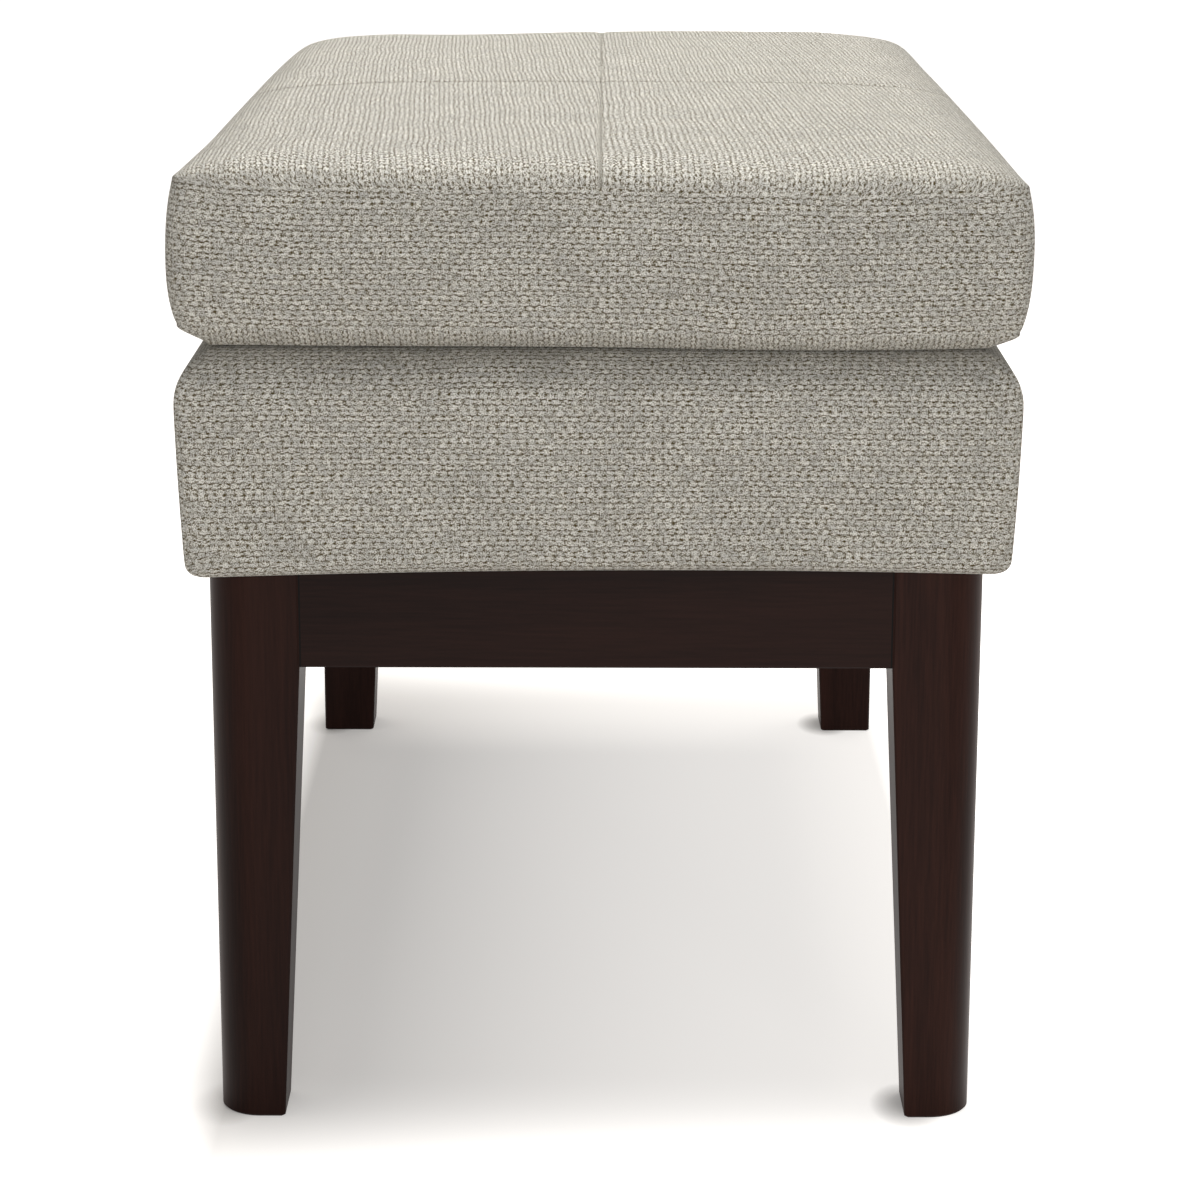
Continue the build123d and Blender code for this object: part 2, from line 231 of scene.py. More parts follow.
# Fibres that blur the floats: scales of their noise, and shares in the shade of the cloth
FIBRE_SCALE = 1500
FIBRE_SHARE = 3.5
FIBRE_HEIGHT = 0.35
HEATHER_ALONG = 330.0
HEATHER_ACROSS = 480.0
HEATHER_SHARE = 0.7
STRAND_ALONG = 380.0
STRAND_ACROSS = 1000.0
STRAND_SHARE = 0.9
HEIGHT_SHARE = 0.78
SHADE_GAIN = 1.22
SHADE_START = -0.12

# The flat of the cushion's top has livelier strands, and rows and holes deepened by painted shade of the
# weave's relief
FLAT_START = 6 * MM
FLAT_FULL = 2 * MM
FLAT_STRANDS = 1.5
FLAT_ROW_SHADE = 0.06
FLAT_HOLE_SHADE = 1.3

# Colours of the cloth from its holes to its highest fibres, its olive fibres, and the painted shade of its
# seams
WEAVE_COLOURS = [
    (0.0, (0.085, 0.060, 0.022)),
    (0.2, (0.150, 0.123, 0.068)),
    (0.5, (0.365, 0.342, 0.288)),
    (0.75, (0.62, 0.605, 0.565)),
    (1.0, (0.87, 0.865, 0.84)),
]
OLIVE = (0.99, 0.93, 0.80, 1)
OLIVE_SHARE = 0.5
SEAM_SHADE_COLOUR = (0.42, 0.40, 0.35, 1)

# Lightness of single floats, of slubs along the rows and of soft patches
FLOAT_LIGHT_LEAST = 0.79
FLOAT_LIGHT = 0.24
SLUB_ALONG = 55.0
SLUB_ROW = 0.83
SLUB_LIGHT = 0.28
PATCH_SCALE = 30
PATCH_LIGHT = 0.3

# Painted shade: the cloth's colour is darkened by a share at the margins of the cushion's top and in the
# crease under it
PAINTED_EDGE_SHADE = 0.24
MARGIN_REACH = 34 * MM
CREASE_REACH = 22 * MM
CREASE_DEPTH = 5 * MM

# Painted shade along the cushion's middle seams: half widths and darkness of its lines, and how softly
# they end
SEAM_LINE_ALONG = 1.4 * MM
SEAM_DARK_ALONG = 0.6
SEAM_LINE_ACROSS = 3.4 * MM
SEAM_DARK_ACROSS = 1.0
SEAM_SOFT = 1 * MM

# Places of the two stops of a plain colour ramp
TONE_LOW = 0.3
TONE_HIGH = 0.7

# Timber: its grain, its finishes and the painted shadow line at its joints
GRAIN_STRETCH = 0.05
FIGURE_SCALE = 45
PORE_SCALE = 700
WOOD_ROUGH_SPREAD = 0.16
ESPRESSO = {"roughness": 0.42, "specular": 0.07, "streak": 0.5}
ESPRESSO_DARK = (0.0132, 0.0047, 0.0034)
ESPRESSO_LIGHT = (0.034, 0.0130, 0.0094)
# Painted light: the right legs' finish is lighter and the left legs' darker, as if lit from the right
LEG_PAINTED_LIGHT = {"left": 0.85, "right": 1.25}
# Aprons are darker than the legs: partly painted shade under the overhang, partly the wood's own tone
APRON_DARK = (0.0098, 0.0044, 0.0036)
APRON_LIGHT = (0.0235, 0.0108, 0.0087)
PINE = {"roughness": 0.6, "specular": 0.3, "streak": 0.35}
PINE_DARK = (0.42, 0.29, 0.16)
PINE_LIGHT = (0.62, 0.47, 0.29)
JOINT_LINE = 0.8 * MM
JOINT_SHADOW_COLOUR = (0.0025, 0.0015, 0.0012, 1)

# Steel and dust cloth
STEEL_DARK = (0.46, 0.46, 0.47)
STEEL_LIGHT = (0.62, 0.62, 0.60)
STEEL_CLOUD_SCALE = 180
STEEL_FINE_SCALE = 2200
STEEL_ROUGHNESS = 0.22
STEEL_ROUGH_SPREAD = 0.25
DUST_DARK = (0.012, 0.012, 0.013)
DUST_LIGHT = (0.045, 0.045, 0.047)
DUST_FIBRE_SCALE = 900
DUST_CLOUD_SCALE = 60

# Floor: its colour, its glow under the bench, and how it pales past the ends and sides; the glow is
# painted light that shapes the shadow under the bench
FLOOR_HALF = 30.0
FLOOR_COLOUR = (0.63, 0.603, 0.574, 1)
FLOOR_GLOW_COLOUR = (1.0, 0.978, 0.955, 1)
FLOOR_GLOW = 0.70
FLOOR_GLOW_PEAK = 0.15
FLOOR_GLOW_REACH = 0.42
FLOOR_SHADE_BACK = 0.0425
FLOOR_END_INSET = 0.0225
FLOOR_PALER_ENDS = 36.0
FLOOR_SIDE_INSET = 0.002
FLOOR_PALER_SIDES = 28.0

# Painted shadow on the floor to the left of each foot: its offset, half sizes and depth
CONTACT_ASIDE = 0.014
CONTACT_HALF_X = 0.030
CONTACT_HALF_Y = 0.019
CONTACT_SHADE = 0.8
FOOT_HALF = 0.017

# World: its light on the object, and its white where it is seen
WORLD_COLOUR = (1.0, 0.995, 0.985, 1)
WORLD_LIGHT = 0.22
WORLD_WHITE = 1.0

# Camera: place in metres, turns in degrees, sensor and lens in millimetres
CAMERA_PLACE = (1.9986, 0.00241, 0.68429)
CAMERA_PITCH = 14.2249
CAMERA_YAW = 0.0168
CAMERA_ROLL = 0.1399
CAMERA_SENSOR = 36
CAMERA_LENS = 104.02


def smooth(low, high, value):
    """0 below low, 1 above high, smooth between."""
    share = min(max((value - low) / (high - low), 0), 1)
    return share * share * (3 - 2 * share)


def stations(half):
    """Places along a side from the middle to the corner, mirrored: close beside seams, even between."""
    start = SEAM_STATIONS[-1]
    end = half - CORNER_ZONE
    count = round((end - start) / PITCH)
    between = [start + (end - start) * k / count for k in range(1, count)]
    outer = [half - d for d in CORNER_STATIONS]
    right = SEAM_STATIONS + between + outer
    return [-y for y in reversed(right[1:])] + right


def border(columns, rows):
    """Grid places round the edge of a grid, anticlockwise from its near left corner."""
    last_x = columns - 1
    last_y = rows - 1
    path = [(last_x, j) for j in range(last_y)]
    path += [(i, last_y) for i in range(last_x, 0, -1)]
    path += [(0, j) for j in range(last_y, 0, -1)]
    path += [(i, 0) for i in range(last_x)]
    return path


def level_at(height):
    """Height function of a flat ring or grid."""
    def level(*place):
        return height
    return level


def flat_at(corner):
    """Flat map of a level panel that lies at a place on the map."""
    def flat(point):
        return point.x + corner[0], point.y + corner[1]
    return flat


def band_at(around, height, corner):
    """Flat map of one ring of a band that is laid out straight."""
    def flat(place):
        return around[place] + corner[0], height + corner[1]
    return flat


class Upholstery:
    """Closed cloth form: a grid above, rings down the sides, a grid below, and a flat map in metres."""

    def __init__(self, name, half_x, half_y, settle):
        self.name = name
        self.settle = settle
        self.half_x = half_x
        self.half_y = half_y
        self.xs = stations(half_x)
        self.ys = stations(half_y)
        self.path = border(len(self.xs), len(self.ys))
        self.points = []
        self.faces = []
        self.maps = []
        self.groups = {}

    def outline(self, place, inset, radius):
        """Point of a rounded rectangle and its outward normal, at one place of the border."""
        x = self.xs[place[0]]
        y = self.ys[place[1]]
        to_corner_x = self.half_x - abs(x)
        to_corner_y = self.half_y - abs(y)
        on_end = to_corner_x < NEAR_ZERO
        distance = to_corner_y if on_end else to_corner_x
        sign_x = math.copysign(1, x)
        sign_y = math.copysign(1, y)
        half_x = self.half_x - inset
        half_y = self.half_y - inset
        if distance > CORNER_ZONE - NEAR_ZERO:
            if on_end:
                stretch = (half_y - radius) / (self.half_y - CORNER_ZONE)
                return Vector((sign_x * half_x, y * stretch)), Vector((sign_x, 0))
            stretch = (half_x - radius) / (self.half_x - CORNER_ZONE)
            return Vector((x * stretch, sign_y * half_y)), Vector((0, sign_y))
        turn = math.pi / 4 * (1 - distance / CORNER_ZONE)
        if not on_end:
            turn = math.pi / 2 - turn
        normal = Vector((sign_x * math.cos(turn), sign_y * math.sin(turn)))
        middle = Vector((sign_x * (half_x - radius), sign_y * (half_y - radius)))
        return middle + radius * normal, normal

    def ring(self, inset, radius, level):
        """One ring of points; level gives the height at a point."""
        first = len(self.points)
        for place in self.path:
            point = self.outline(place, inset, radius)[0]
            self.points.append(Vector((*point, level(point))))
        return list(range(first, len(self.points)))

    def add_face(self, corners, flat):
        self.faces.append(corners)
        self.maps.append(flat)

    def grid(self, edge, height, flat, upward):
        """Fills a ring with a grid whose border is the ring."""
        at = dict(zip(self.path, edge))
        edge_x = max(abs(self.points[k].x) for k in edge) / self.half_x
        edge_y = max(abs(self.points[k].y) for k in edge) / self.half_y
        inner = []
        for i in range(1, len(self.xs) - 1):
            for j in range(1, len(self.ys) - 1):
                x = self.xs[i] * edge_x
                y = self.ys[j] * edge_y
                at[(i, j)] = len(self.points)
                inner.append(len(self.points))
                self.points.append(Vector((x, y, height(x, y))))
        for i in range(len(self.xs) - 1):
            for j in range(len(self.ys) - 1):
                quad = [at[(i, j)], at[(i + 1, j)], at[(i + 1, j + 1)], at[(i, j + 1)]]
                if not upward:
                    quad.reverse()
                self.add_face(quad, [flat(self.points[k]) for k in quad])
        return inner

    def strip(self, upper, lower, upper_flat, lower_flat):
        """Faces between two rings; the flat maps take a ring index that runs past the end once."""
        count = len(upper)
        for k in range(count):
            after = (k + 1) % count
            quad = [upper[k], lower[k], lower[after], upper[after]]
            flat = [upper_flat(k), lower_flat(k), lower_flat(k + 1), upper_flat(k + 1)]
            self.add_face(quad, flat)

    def wrap(self, rings, around, down, corner):
        """Faces down a row of rings, whose flat map is one straight band."""
        flats = [band_at(around, height, corner) for height in down]
        for k in range(len(rings) - 1):
            self.strip(rings[k], rings[k + 1], flats[k], flats[k + 1])

    def run_along(self, ring):
        """Length along a ring up to each of its points, and all the way round."""
        lengths = [0.0]
        for k in range(len(ring)):
            step = self.points[ring[(k + 1) % len(ring)]] - self.points[ring[k]]
            lengths.append(lengths[-1] + Vector(step[:2]).length)
        return lengths

    def build(self):
        mesh = bpy.data.meshes.new(self.name)
        mesh.from_pydata([self.settle(point) for point in self.points], [], self.faces)
        weave = mesh.uv_layers.new(name="weave")
        spot = 0
        for flat in self.maps:
            for u, v in flat:
                weave.data[spot].uv = (u, v)
                spot += 1
        mesh.shade_smooth()
        piece = bpy.data.objects.new(self.name, mesh)
        scene.collection.objects.link(piece)
        for name, members in self.groups.items():
            group = piece.vertex_groups.new(name=name)
            group.add(members, 1.0, "REPLACE")
        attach(piece, "root")
        return piece


def inflate(piece, pinned, pressure, most):
    """Swells the cloth between its pinned seams, and keeps each point within a distance of its start."""
    cloth = piece.modifiers.new("swell", "CLOTH")
    cloth.settings.quality = 6
    cloth.settings.mass = 0.25
    cloth.settings.tension_stiffness = 25
    cloth.settings.compression_stiffness = 25
    cloth.settings.shear_stiffness = 8
    cloth.settings.bending_stiffness = 0.8
    cloth.settings.use_pressure = True
    cloth.settings.uniform_pressure_force = pressure
    cloth.settings.vertex_group_mass = pinned
    cloth.settings.effector_weights.gravity = 0
    cloth.collision_settings.use_collision = False
    cloth.collision_settings.use_self_collision = False
    cloth.point_cache.frame_end = SWELL_FRAMES
    for step in range(1, SWELL_FRAMES + 1):
        scene.frame_set(step)
    swollen = piece.evaluated_get(bpy.context.evaluated_depsgraph_get())
    moved = [vertex.co.copy() for vertex in swollen.data.vertices]
    piece.modifiers.remove(cloth)
    scene.frame_set(1)
    for vertex, place in zip(piece.data.vertices, moved):
        shift = place - vertex.co
        if shift.length > most:
            shift *= most / shift.length
        vertex.co += shift


def subdivide(piece):
    fine = piece.modifiers.new("fine", "SUBSURF")
    fine.levels = 1
    fine.render_levels = 1


# Cushion form


def end_lift(x, y):
    """How far the cushion's edge rises or sags along its ends, fading towards the middle of the bench."""
    side = y / BELLY_Y if x > 0 else -y / BELLY_Y
    corner = END_RISE * math.exp(-(1 + side) / END_RISE_REACH)
    dip = -END_DIP * math.exp(-((side - END_DIP_PLACE) / END_DIP_REACH) ** 2)
    return (corner + dip) * smooth(END_LIFT_START, 1, abs(x) / BELLY_X)


def side_sag(y):
    """How far the cushion's lower edge hangs along its long sides."""
    return -SIDE_SAG * smooth(SIDE_SAG_START, 1, abs(y) / BELLY_Y)


def ear(x, y):
    """Upright tip at each near top corner of the cushion; the far edge and its corners droop instead."""
    reach = math.hypot(BELLY_X - abs(x), BELLY_Y - abs(y))
    if x < 0:
        droop = FAR_DROOP_LEFT if y < 0 else FAR_DROOP_RIGHT
        drop = FAR_EDGE_DROP * smooth(FAR_EDGE_START, 1, -x / BELLY_X)
        return -droop * math.exp(-reach / FAR_CORNER_REACH) - drop
    height = EAR_LEFT if y < 0 else EAR_RIGHT
    return height * math.exp(-reach / EAR_REACH)


def to_edge_seam(x, y):
    """Distances on the cushion's top from a point to the end seam and to the side seam."""
    return max(BELLY_X - TOP_SEAM_INSET - abs(x), 0), max(BELLY_Y - TOP_SEAM_INSET - abs(y), 0)


def pillow(distance, reach, roll):
    """Share of the crown's height at a distance in from the edge seam: a tight roll, then a slow rise."""
    rise = 1 - max(1 - distance / reach, 0) ** CROWN_POWER
    rolled = roll * math.sqrt(1 - max(1 - distance / EDGE_ROLL_REACH, 0) ** 2)
    return rise + (1 - rise) * rolled


def edge_falls(x, y):
    """Shares of the crown's height at the cushion's ends and sides for one point of its top."""
    to_x, to_y = to_edge_seam(x, y)
    return pillow(to_x, CROWN_END_REACH, END_ROLL), pillow(to_y, CROWN_SIDE_REACH, SIDE_ROLL)


def top_level(x, y):
    """Height of the cushion's top: a pillow with valleys at the middle seams."""
    to_edge = min(to_edge_seam(x, y))
    crown = CROWN * math.prod(edge_falls(x, y))
    to_middle = min(abs(x), abs(y))
    valley = MIDDLE_VALLEY * math.exp(-to_middle / MIDDLE_VALLEY_REACH)
    valley += MIDDLE_GROOVE * math.exp(-to_middle / MIDDLE_GROOVE_REACH)
    valley *= smooth(0, VALLEY_FADE, to_edge)
    wave = WAVE * noise.noise(Vector((x * WAVE_SCALE, y * WAVE_SCALE, WAVE_SLICE)))
    wave *= smooth(0, WAVE_FADE, to_edge)
    return TOP_SEAM + crown - valley + wave + end_lift(x, y) + ear(x, y)


def seam_level(point):
    """Height of the cushion's top seam."""
    return TOP_SEAM - SEAM_GROOVE + end_lift(*point) + ear(*point)


def top_flat(point):
    """Flat map of the cushion's top, whose rows run along the bench, a little askew."""
    across = point.y / BELLY_Y
    slant = SLANT_LEFT
    if across >= 0:
        slant = SLANT_MIDDLE + SLANT_RISE * across * (1 - SLANT_BEND * across)
    roll_x, roll_y = [EDGE_STRETCH * CROWN * (1 - share) for share in edge_falls(*point[:2])]
    u = point.x + math.copysign(roll_x, point.x)
    v = point.y + math.copysign(roll_y, point.y) - slant * point.x
    return u + CUSHION_TOP_AT[0], v + CUSHION_TOP_AT[1]


def boxing_inset(share):
    """How far the boxing is drawn in from its belly, at a share of the way down."""
    if share < BELLY_SHARE:
        return TOP_SEAM_INSET * ((BELLY_SHARE - share) / BELLY_SHARE) ** UPPER_BULGE_POWER
    inset = BOTTOM_SEAM_INSET * ((share - BELLY_SHARE) / (1 - BELLY_SHARE)) ** LOWER_BULGE_POWER
    if share == 1.0:
        inset += SEAM_TUCK
    return inset


def boxing_level(share):
    """Height function of the boxing's ring at a share of the way down."""
    def level(point):
        tip = ear(*point) * (1 - share) ** 2
        sag = side_sag(point.y) * share ** 3
        return TOP_SEAM - BOXING_HEIGHT * share + end_lift(*point) + tip + sag
    return level


def shoulder_height(x, y):
    """Height of the body's deck below the cushion, which falls away towards its edge."""
    to_edge = min(BODY_X - abs(x), BODY_Y - abs(y))
    fall = max(SHOULDER_RADIUS - to_edge, 0)
    return BODY_TOP - SHOULDER_RADIUS + math.sqrt(max(SHOULDER_RADIUS ** 2 - fall ** 2, 0))


def rim_level(share):
    """Height function of the rim's ring at a share of the way in; it never sinks into the body."""
    def level(point):
        settle = 1 - RIM_SETTLE * share ** 3
        lift = end_lift(*point) + side_sag(point.y)
        lowest = shoulder_height(*point) + LAYER_GAP
        return max(BOTTOM_SEAM - RIM_DROP * share + lift * settle, lowest)
    return level


def settle_cushion(point):
    """Bows the long sides and the cross seam of the finished cushion, and leans its top to the right."""
    along = point.x / BELLY_X
    across = point.y / BELLY_Y
    height = smooth(BOTTOM_SEAM, TOP_SEAM, point.z)
    x = point.x + CROSS_SEAM_BOW * across ** 2 * (1 - abs(along)) * height
    y = point.y + SIDE_BOW * across * (1 - along ** 2) + TOP_LEAN * height + CUSHION_SHIFT
    return Vector((x, y, point.z))


def make_cushion():
    form = Upholstery("cushion", BELLY_X, BELLY_Y, settle_cushion)
    top_edge = form.ring(TOP_SEAM_INSET, TOP_SEAM_RADIUS, seam_level)
    form.grid(top_edge, top_level, top_flat, upward=True)

    rings = [top_edge]
    for share in BOXING_SHARES:
        inset = boxing_inset(share)
        rings.append(form.ring(inset, BOXING_RADIUS - inset / 2, boxing_level(share)))
    around = form.run_along(rings[BELLY_RING])
    down = [0.0] + [-share * BOXING_HEIGHT * BOXING_STRETCH for share in BOXING_SHARES]
    form.wrap(rings, around, down, BOXING_AT)
    bottom_edge = rings[-1]

    rim = [bottom_edge]
    for share in RIM_SHARES:
        inset = BOTTOM_SEAM_INSET + (UNDER_INSET - BOTTOM_SEAM_INSET) * share ** RIM_POWER
        rim.append(form.ring(inset, UNDER_RADIUS, rim_level(share)))
    under_edge = rim[-1]
    normals = [form.outline(place, UNDER_INSET, UNDER_RADIUS)[1] for place in form.path]
    count = len(under_edge)

    def rim_flat(ring, away):
        """Flat map of one ring of the rim, spread out from the underside's edge."""
        def flat(place):
            spot = place % count
            normal = normals[spot]
            point = Vector(form.points[ring[spot]][:2])
            edge = Vector(form.points[under_edge[spot]][:2])
            spread = point + normal * ((edge - point).dot(normal) + away)
            return spread.x + UNDERSIDE_AT[0], spread.y + UNDERSIDE_AT[1]
        return flat

    length = math.hypot(UNDER_INSET - BOTTOM_SEAM_INSET, RIM_DROP)
    flats = [rim_flat(ring, length * (1 - share)) for ring, share in zip(rim, [0.0] + RIM_SHARES)]
    for k in range(len(RIM_SHARES)):
        form.strip(rim[k], rim[k + 1], flats[k], flats[k + 1])

    under = form.grid(under_edge, level_at(BODY_TOP + LAYER_GAP), flat_at(UNDERSIDE_AT), upward=False)
    seams = top_edge + bottom_edge + under
    for ring in rim[1:]:
        seams += ring
    form.groups["seams"] = seams
    return form.build()


# Body form


def hem_lift(x, y):
    """How far the body's lower edge bows up between its corners, and hangs at them."""
    along_end = (1 - (y / BODY_Y) ** 2) * smooth(HEM_END_START, 1, abs(x) / BODY_X)
    along_side = (1 - (x / BODY_X) ** 2) * smooth(HEM_SIDE_START, 1, abs(y) / BODY_Y)
    drop = HEM_DROP - HEM_LEAN * (x / BODY_X) * (y / BODY_Y)
    return HEM_BOW * max(along_end, along_side) - drop


def body_level(height):
    """Height function of one ring of the body, with the bow of the hem fading upwards."""
    share = 1 - smooth(BODY_BASE, HEM_LEVEL + HEM_FADE, height)

    def level(point):
        return height + hem_lift(*point) * share
    return level


def body_profile():
    """Insets and heights of the body's rings, over the shoulder, down the side and round the hem."""
    shoulder_level = BODY_DECK - SHOULDER_RADIUS
    profile = []
    for k in range(SHOULDER_STEPS + 1):
        turn = math.pi / 2 * (1 - k / SHOULDER_STEPS)
        inset = SHOULDER_RADIUS * (1 - math.cos(turn))
        profile.append((inset, shoulder_level + SHOULDER_RADIUS * math.sin(turn)))
    for k in range(1, SIDE_STEPS):
        share = k / SIDE_STEPS
        swell = SIDE_SWELL * math.sin(math.pi * share)
        profile.append((BODY_LEAN * share - swell, shoulder_level + (HEM_LEVEL - shoulder_level) * share))
    for k in range(HEM_STEPS + 1):
        turn = math.pi / 2 * k / HEM_STEPS
        inset = BODY_LEAN + HEM_RADIUS * (1 - math.cos(turn))
        profile.append((inset, HEM_LEVEL - (HEM_LEVEL - BODY_BASE) * math.sin(turn)))
    return profile


def groove_corners(form, rings):
    """Draws the form in at its four upright corner seams."""
    ends_x = (0, len(form.xs) - 1)
    ends_y = (0, len(form.ys) - 1)
    corners = [k for k, (i, j) in enumerate(form.path) if i in ends_x and j in ends_y]
    for ring in rings:
        for k in corners:
            point = form.points[ring[k]]
            away = Vector((math.copysign(1, point.x), math.copysign(1, point.y), 0)).normalized()
            form.points[ring[k]] = point - CORNER_GROOVE * away


def settle_body(point):
    return point + Vector((0, BODY_SHIFT, 0))


def make_body():
    form = Upholstery("upholstered_body", BODY_X, BODY_Y, settle_body)
    profile = body_profile()
    rings = []
    for inset, height in profile:
        radius = max(BODY_CORNER_RADIUS - inset / 4, BODY_LEAST_RADIUS)
        rings.append(form.ring(inset, radius, body_level(height)))
    groove_corners(form, rings[CORNER_GROOVE_START:-1])

    inner_inset = BODY_LEAN + HEM_RADIUS + HEM_INNER
    profile.append((inner_inset, BODY_BASE))
    rings.append(form.ring(inner_inset, BODY_LEAST_RADIUS, level_at(BODY_BASE)))
    around = form.run_along(rings[SHOULDER_STEPS + 1])
    down = [0.0]
    for before, after in zip(profile, profile[1:]):
        down.append(down[-1] - math.dist(before, after))
    form.wrap(rings, around, down, BODY_SIDES_AT)
    form.grid(rings[0], level_at(BODY_DECK), flat_at(BODY_DECK_AT), upward=True)
    form.grid(rings[-1], level_at(BODY_BASE), flat_at(BODY_DECK_AT), upward=False)
    return form.build()


# Dust cloth form


def make_dust_cloth():
    """Sheet under the frame with its corners cut off; also returns the size it was cut to and its area."""
    half_x, half_y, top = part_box("dust_cover")[1]
    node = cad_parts["dust_cover"].data
    short_x = max(v.co.x for v in node.vertices if abs(v.co.y) > half_y - DUST_EDGE)
    cut = half_x - short_x
    mesh = bmesh.new()
    at = {}
    for i in range(DUST_COLUMNS + 1):
        for j in range(DUST_ROWS + 1):
            x = half_x * (2 * i / DUST_COLUMNS - 1)
            y = half_y * (2 * j / DUST_ROWS - 1)
            over = abs(x) + abs(y) - (half_x + half_y - cut)
            if over > 0:
                pull = over / (abs(x) + abs(y))
                x -= x * pull
                y -= y * pull
            sag = DUST_SAG * (1 - (x / half_x) ** 2) * (1 - (y / half_y) ** 2)
            spot = Vector((x * DUST_WRINKLE_SCALE, y * DUST_WRINKLE_SCALE, DUST_WRINKLE_SLICE))
            wrinkle = DUST_WRINKLE * noise.noise(spot)
            at[(i, j)] = mesh.verts.new((x, y, top - LAYER_GAP - sag - abs(wrinkle)))
    for i in range(DUST_COLUMNS):
        for j in range(DUST_ROWS):
            mesh.faces.new([at[(i, j)], at[(i, j + 1)], at[(i + 1, j + 1)], at[(i + 1, j)]])
    data = bpy.data.meshes.new("dust_cloth")
    mesh.to_mesh(data)
    mesh.free()
    data.shade_smooth()
    piece = bpy.data.objects.new("dust_cloth", data)
    scene.collection.objects.link(piece)
    thick = piece.modifiers.new("thick", "SOLIDIFY")
    thick.thickness = DUST_THICKNESS
    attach(piece, "root")
    return piece, (2 * half_x, 2 * half_y), 4 * half_x * half_y - 2 * cut * cut


# Materials


class Graph:
    """Node tree of one material, with short calls for the nodes that repeat."""

    def __init__(self, name):
        self.material = bpy.data.materials.new(name)
        self.material.use_nodes = True
        self.tree = self.material.node_tree
        self.shader = self.tree.nodes["Principled BSDF"]

    def put(self, socket, value):
        if hasattr(value, "links"):
            self.tree.links.new(value, socket)
        elif value is not None:
            socket.default_value = value

    def math(self, operation, first, second=None, third=None):
        node = self.tree.nodes.new("ShaderNodeMath")
        node.operation = operation
        for socket, value in zip(node.inputs, (first, second, third)):
            self.put(socket, value)
        return node.outputs[0]

    def plus(self, base, value, share):
        """A base with a share of another value added."""
        return self.math("MULTIPLY_ADD", value, share, base)

    def from_half(self, value):
        """A value between 0 and 1, moved to lie about zero."""
        return self.math("SUBTRACT", value, 0.5)

    def vector(self, x, y, z):
        node = self.tree.nodes.new("ShaderNodeCombineXYZ")
        for socket, value in zip(node.inputs, (x, y, z)):
            self.put(socket, value)
        return node.outputs[0]

    def split(self, vector):
        node = self.tree.nodes.new("ShaderNodeSeparateXYZ")
        self.put(node.inputs[0], vector)
        return node.outputs

    def place(self):
        return self.tree.nodes.new("ShaderNodeTexCoord").outputs["Object"]

    def noise(self, vector, scale, detail=2.0, roughness=0.5):
        node = self.tree.nodes.new("ShaderNodeTexNoise")
        self.put(node.inputs["Vector"], vector)
        node.inputs["Scale"].default_value = scale
        node.inputs["Detail"].default_value = detail
        node.inputs["Roughness"].default_value = roughness
        return node.outputs

    def random(self, vector):
        node = self.tree.nodes.new("ShaderNodeTexWhiteNoise")
        node.noise_dimensions = "3D"
        self.put(node.inputs["Vector"], vector)
        return node.outputs["Value"]

    def ramp(self, value, stops):
        node = self.tree.nodes.new("ShaderNodeValToRGB")
        ramp = node.color_ramp
        while len(ramp.elements) < len(stops):
            ramp.elements.new(0.5)
        for element, (place, colour) in zip(ramp.elements, stops):
            element.position = place
            element.color = (*colour, 1)
        self.put(node.inputs[0], value)
        return node.outputs[0]

    def two_tones(self, value, dark, light):
        return self.ramp(value, [(TONE_LOW, dark), (TONE_HIGH, light)])

    def mix(self, blend, factor, first, second):
        node = self.tree.nodes.new("ShaderNodeMix")
        node.data_type = "RGBA"
        node.blend_type = blend
        self.put(node.inputs["Factor"], factor)
        colours = [socket for socket in node.inputs if socket.type == "RGBA"]
        self.put(colours[0], first)
        self.put(colours[1], second)
        return [socket for socket in node.outputs if socket.type == "RGBA"][0]

    def bump(self, height, strength, distance):
        node = self.tree.nodes.new("ShaderNodeBump")
        node.inputs["Strength"].default_value = strength
        node.inputs["Distance"].default_value = distance
        self.put(node.inputs["Height"], height)
        self.put(self.shader.inputs["Normal"], node.outputs[0])

    def finish(self, colour, roughness, specular=0.5, metallic=0.0):
        self.put(self.shader.inputs["Base Color"], colour)
        self.put(self.shader.inputs["Roughness"], roughness)
        self.shader.inputs["Specular IOR Level"].default_value = specular
        self.shader.inputs["Metallic"].default_value = metallic
        return self.material


